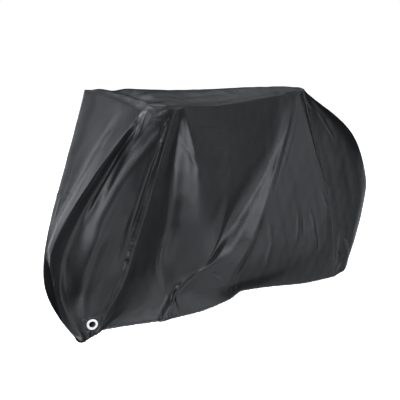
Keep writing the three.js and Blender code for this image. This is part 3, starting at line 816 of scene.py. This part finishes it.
wear = np.maximum(np.exp(-((edge / WEAR["reach"]) ** 2)) * WEAR["edge"], height / WEAR["crest"])
new_sheet(
    "top_panel_cloth", grid + normals * height[..., None], grid_faces(TOP_ROWS, TOP_COLUMNS, flipped=True),
    CLOTH, lengths, np.clip(wear, 0, 1),
)
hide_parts("top_panel")


# ---- eyelet patches and eyelets ----
def eyelet_seat(start, end, over):
    """Centre, outward normal and down direction of the eyelet on the patch between two columns."""
    column = start + (end - start) * over
    half = SEAT["step"] / 2
    heights = [SEAT["down"] - half, SEAT["down"], SEAT["down"] + half]
    cross = draped([column - SEAT["beside"], column, column + SEAT["beside"]], heights)[0]
    down = cross[2, 1] - cross[0, 1]
    normal = unit(np.cross(down, cross[1, 2] - cross[1, 0]))
    return cross[1, 1], normal, unit(down)


def eyelet_ring(name, centre, normal, down):
    """A turned eyelet: a domed front flange, a tube through the cloth and a flat back flange."""
    side = np.cross(down, normal)
    turn = np.linspace(0, 2 * math.pi, EYELET_SIDES, endpoint=False)
    radius, height = np.array(EYELET_PROFILE).T[..., None, None]
    outward = np.cos(turn)[None, :, None] * side + np.sin(turn)[None, :, None] * down
    ring = centre + radius * outward + height * normal
    # the last row of faces closes the profile on its first row of points
    faces = grid_faces(len(radius) + 1, EYELET_SIDES, closed=True, flipped=True)
    faces %= len(radius) * EYELET_SIDES
    return new_object(name, ring, faces, METAL)


# name, first and last column, how far over the eyelet sits
for name, start, end, over in (
    ("left", PATCH_LEFT, FRONT_TO, SEAT["left_over"]),
    ("right", 0, PATCH_RIGHT, SEAT["right_over"]),
):
    columns = fine_columns(start, end, PATCH["spacing"])
    rows = fine_rows(PATCH["spacing"], PATCH["from"])
    grid, wear = cloth_points(columns, rows)
    centre, normal, down = eyelet_seat(start, end, over)
    away = np.linalg.norm(grid - centre, axis=-1)
    # the border of the patch stays on the panel round it
    lengths = cloth_map(grid)
    border = np.minimum(*from_borders(lengths))
    ease = 1 - smooth_share((away - SEAT["flat"]) / (SEAT["eased"] - SEAT["flat"]))
    ease *= smooth_share(border / PATCH["eased"])
    lift = ((centre - grid) @ normal) * ease
    turn = np.arctan2((grid - centre) @ np.cross(down, normal), (grid - centre) @ down)
    swayed = turn * PATCH_RAYS["count"] + PATCH_RAYS["sway"] * np.sin(turn * PATCH_RAYS["sways"])
    rays = PATCH_RAYS["height"] * np.sin(swayed)
    rays *= np.exp(-((away - PATCH_RAYS["radius"]) / PATCH_RAYS["reach"]) ** 2)
    rim = PATCH_RIM["height"] * np.exp(-((border - PATCH_RIM["inward"]) / PATCH_RIM["reach"]) ** 2)
    lift = lift + (rays + rim) * smooth_share(border / PATCH["sewn"])
    grid = grid + lift[..., None] * normal
    faces = grid_faces(len(rows), len(columns))
    open_hole = (np.linalg.norm(grid - centre, axis=-1) < PATCH["hole"]).ravel()[faces].any(1)
    patch = new_sheet(name + "_eyelet_patch_cloth", grid, faces[~open_hole], PATCH_CLOTH,
                      lengths, wear)
    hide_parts(name + "_eyelet_patch")
    ring = eyelet_ring(name + "_eyelet_ring", centre, normal, down)
    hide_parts(name + "_eyelet")


# ---- seam welts, stitches and hem ----
def across_seam(left, right):
    """Points at SEAM_OFFSETS from a seam. left and right hold, for each place, points going away from it."""
    def beside(offset):
        lines = left if offset < 0 else right
        return [looked_up(abs(offset), line, run_along(line)) for line in lines]

    return np.stack([beside(offset) for offset in SEAM_OFFSETS], 1)


def evenly(points, step):
    """Places along a line of points at which it has gone on by step, as shares of the index range."""
    run = run_along(points)
    return np.interp(np.arange(0, run[-1], step), run, np.arange(len(points)))


# the welt's profile: places across the seam as shares of its half width, and its heights
WELT_ACROSS = np.array([-1.0, -0.8, -0.45, 0.0, 0.45, 0.8, 1.0])
WELT_HEIGHTS = np.array([-WELT["sunk"], 0.62, 0.92, 1.0, 0.92, 0.62, -WELT["sunk"]]) * WELT["height"]
SEAM_OFFSETS = [-STITCH["beside"], *(WELT_ACROSS * WELT["half"]), STITCH["beside"]]
MIDDLE = len(SEAM_OFFSETS) // 2
# how far the cloth is followed to each side of a seam, in columns and in shares of the way down
BESIDE = np.linspace(0, 2.0, 9)
BELOW_TOP = np.linspace(0, 0.06, 9)
LONG_SEAM, SHORT_SEAM = 330, 60

strips = {}
for name, column in (("right_front_seam", 0), ("left_front_seam", FRONT_TO), ("left_rear_seam", LEFT_TO),
                     ("right_rear_seam", REAR_TO)):
    shares = np.linspace(0, 1, LONG_SEAM)
    strips[name] = across_seam(draped(column - BESIDE, shares)[0], draped(column + BESIDE, shares)[0])

for name, start, end, count in (
    ("left_top_seam", FRONT_TO, LEFT_TO, LONG_SEAM),
    ("right_top_seam", ROUND, REAR_TO, LONG_SEAM),
    ("rear_top_seam", REAR_TO, LEFT_TO, SHORT_SEAM),
):
    below = draped(np.linspace(start, end, count), BELOW_TOP)[0].transpose(1, 0, 2)
    shares = np.linspace(0, 1, count)
    length, width = LEFT_TO - FRONT_TO, FRONT_TO
    if name == "left_top_seam":
        above = top_points(shares * length, width - BESIDE)
    elif name == "right_top_seam":
        above = top_points(shares * length, BESIDE)
    else:
        above = top_points(length - BESIDE, shares * width).transpose(1, 0, 2)
    strips[name] = across_seam(above, below)

stitches = {}
for name, strip in strips.items():
    # the points of this seam turn the other way, so that its plain normals point into the cover
    turned = name == "left_top_seam"
    normals = grid_normals(strip) * (-1 if turned else 1)
    places = evenly(strip[:, MIDDLE], WELT["step"])
    points = np.stack([looked_up(places, strip[:, k]) for k in range(strip.shape[1])], 1)
    facing = unit(np.stack([looked_up(places, normals[:, k]) for k in range(strip.shape[1])], 1))
    height = bumps(np.arange(len(places)) * WELT["step"], **WELT_BUMPS)[:, None] * WELT_HEIGHTS
    welt = points[:, 1:-1] + unit(facing[:, 1:-1] + facing[:, MIDDLE:MIDDLE + 1]) * height[..., None]
    new_object(name + "_welt", welt, grid_faces(*welt.shape[:2], flipped=turned), TRIM_CLOTH,
               cloth_map(welt), np.full(welt.shape[:2], WELT["wear"]))
    stitches[name] = [(points[:, k], facing[:, k]) for k in (0, -1)]


def stitch_mesh(name, rows):
    """A row of sewn stitches for each line of points: short thick threads sunk at both ends."""
    vertices, faces = [], []
    ring = STITCH["sides"]
    ring_faces = np.roll(grid_faces(3, ring, closed=True, flipped=True), 1, axis=1)
    turn = np.linspace(0, 2 * math.pi, ring, endpoint=False)
    # lift and thickness at the start, the middle and the end
    end = (STITCH["sunk"], STITCH["tip"])
    shape = (end, (STITCH["up"], 1.0), end)
    for points, facing in rows:
        for start in evenly(points, STITCH["length"] + STITCH["gap"])[1:-1]:
            reach = STITCH["length"] / WELT["step"]
            places = np.clip([start, start + reach * 0.5, start + reach], 0, len(points) - 1)
            line = looked_up(places, points)
            out = unit(looked_up(places[1], facing))
            side = np.cross(unit(line[2] - line[0]), out)
            circle = np.cos(turn)[:, None] * side + np.sin(turn)[:, None] * out
            faces.extend(len(vertices) + ring_faces)
            for place, (lift, thick) in zip(line, shape):
                vertices.extend(place + lift * out + STITCH["thick"] * thick * circle)
    return new_object(name, vertices, faces, THREAD)


for name, rows in stitches.items():
    stitch_mesh(name + "_stitches", rows).name

HEM_COLUMNS = 500
hem_turn = np.linspace(0, 2 * math.pi, HEM["sides"], endpoint=False)
for name, start, end, _ in PANELS:
    above, edge = draped(np.linspace(start, end, HEM_COLUMNS), [HEM["share"], 1.0])[0]
    places = np.append(evenly(edge, HEM["step"]), HEM_COLUMNS - 1.0)
    low = looked_up(places, edge)
    up = unit(looked_up(places, above) - low)
    forward = unit(np.gradient(low, axis=0))
    out = unit(np.cross(forward, up))
    up = np.cross(out, forward)
    gathered = bumps(np.arange(len(low)) * HEM["step"], **HEM_BUMPS)
    middle = low + up * HEM["up"]
    band = middle[:, None] + gathered[:, None, None] * (
        HEM["half_width"] * np.cos(hem_turn)[None, :, None] * up[:, None]
        + HEM["half_thick"] * np.sin(hem_turn)[None, :, None] * out[:, None])
    hem = new_object(name + "_hem", band, grid_faces(len(band), len(hem_turn), closed=True, flipped=True),
                     TRIM_CLOTH, wear=np.full(band.shape[:2], HEM["wear"]))
    # the row of stitches that closes the hem, just above the band
    sewn_at = low + up * (HEM["up"] + HEM["half_width"] + HEM["stitches_up"])
    stitch_mesh(name + "_hem_stitches", [(sewn_at, out)]).name

# ---- floor and light ----
FLOOR_SIZE = 40.0
bpy.ops.mesh.primitive_plane_add(size=FLOOR_SIZE, location=(0, 0, -SHIFT[2] * 0.001))
floor = bpy.context.object
floor.name = "floor"
floor_material, _, floor_shader = new_material("floor")
floor_shader.inputs["Base Color"].default_value = (0.9, 0.9, 0.9, 1)
floor_shader.inputs["Emission Color"].default_value = (1, 1, 1, 1)
floor_shader.inputs["Emission Strength"].default_value = 1.0
floor_shader.inputs["Roughness"].default_value = 0.8
floor.data.materials.append(floor_material)
# the floor shows, but the soft lights below alone shape the dark cloth
floor.visible_diffuse = False
floor.visible_glossy = False
floor.visible_shadow = False
floor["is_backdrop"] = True

world = bpy.data.worlds.new("world")
scene.world = world
world.use_nodes = True
background = world.node_tree.nodes["Background"]
background.inputs["Color"].default_value = (1, 1, 1, 1)
background.inputs["Strength"].default_value = 1.0
world.cycles_visibility.diffuse = False
world.cycles_visibility.glossy = False

# name, azimuth from the left side towards the rear, elevation, side of the square in metres, watts
LIGHTS = [
    ("floor", 0, -86, 3.5, 95),
    ("floor_front", -35, -62, 3.0, 70),
    ("side_low", -2, -38, 3.0, 23),
    ("side_rear_low", 20, -38, 3.0, 12),
    ("rear_side_low", 44, -34, 3.0, 14),
    ("left_near", -28, -12, 3.0, 44),
    ("side_rear", 20, -12, 3.0, 38),
    ("rear_side", 44, -12, 3.0, 25),
    ("rear_low", 98, -20, 3.0, 17),
    ("far_front", -155, 14, 3.0, 40),
    ("front_left", -72, 16, 3.0, 150),
    ("side_high", -2, 14, 3.0, 115),
    ("rear_high", 44, 14, 3.0, 26),
    ("far_rear", 136, 38, 3.0, 15),
    ("front_top", -104, 42, 3.0, 230),
    ("side_top", 20, 42, 3.0, 100),
    ("far_top", 180, 60, 4.0, 105),
    ("far_side", 172, -8, 3.0, 60),
]
LIGHT_DISTANCE = 6.0
LIGHT_COLOUR = (0.955, 0.98, 1.03)
LIGHT_TARGET = Vector((0.0, 0.0, -0.45))


def softbox(name, azimuth, elevation, side, power):
    """A square soft box that faces LIGHT_TARGET and doesn't show itself."""
    data = bpy.data.lights.new(name, "AREA")
    data.shape = "SQUARE"
    data.size = side
    data.energy = power
    data.color = LIGHT_COLOUR
    obj = bpy.data.objects.new(name, data)
    collection.objects.link(obj)
    a = math.radians(azimuth)
    e = math.radians(elevation)
    away = Vector((math.cos(e) * math.sin(a), -math.cos(e) * math.cos(a), math.sin(e)))
    obj.location = LIGHT_TARGET + away * LIGHT_DISTANCE
    obj.rotation_euler = away.to_track_quat("Z", "Y").to_euler()
    obj.visible_camera = False


for light in LIGHTS:
    softbox(*light)

scene.view_settings.view_transform = "Standard"
scene.view_settings.look = "None"

low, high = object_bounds()
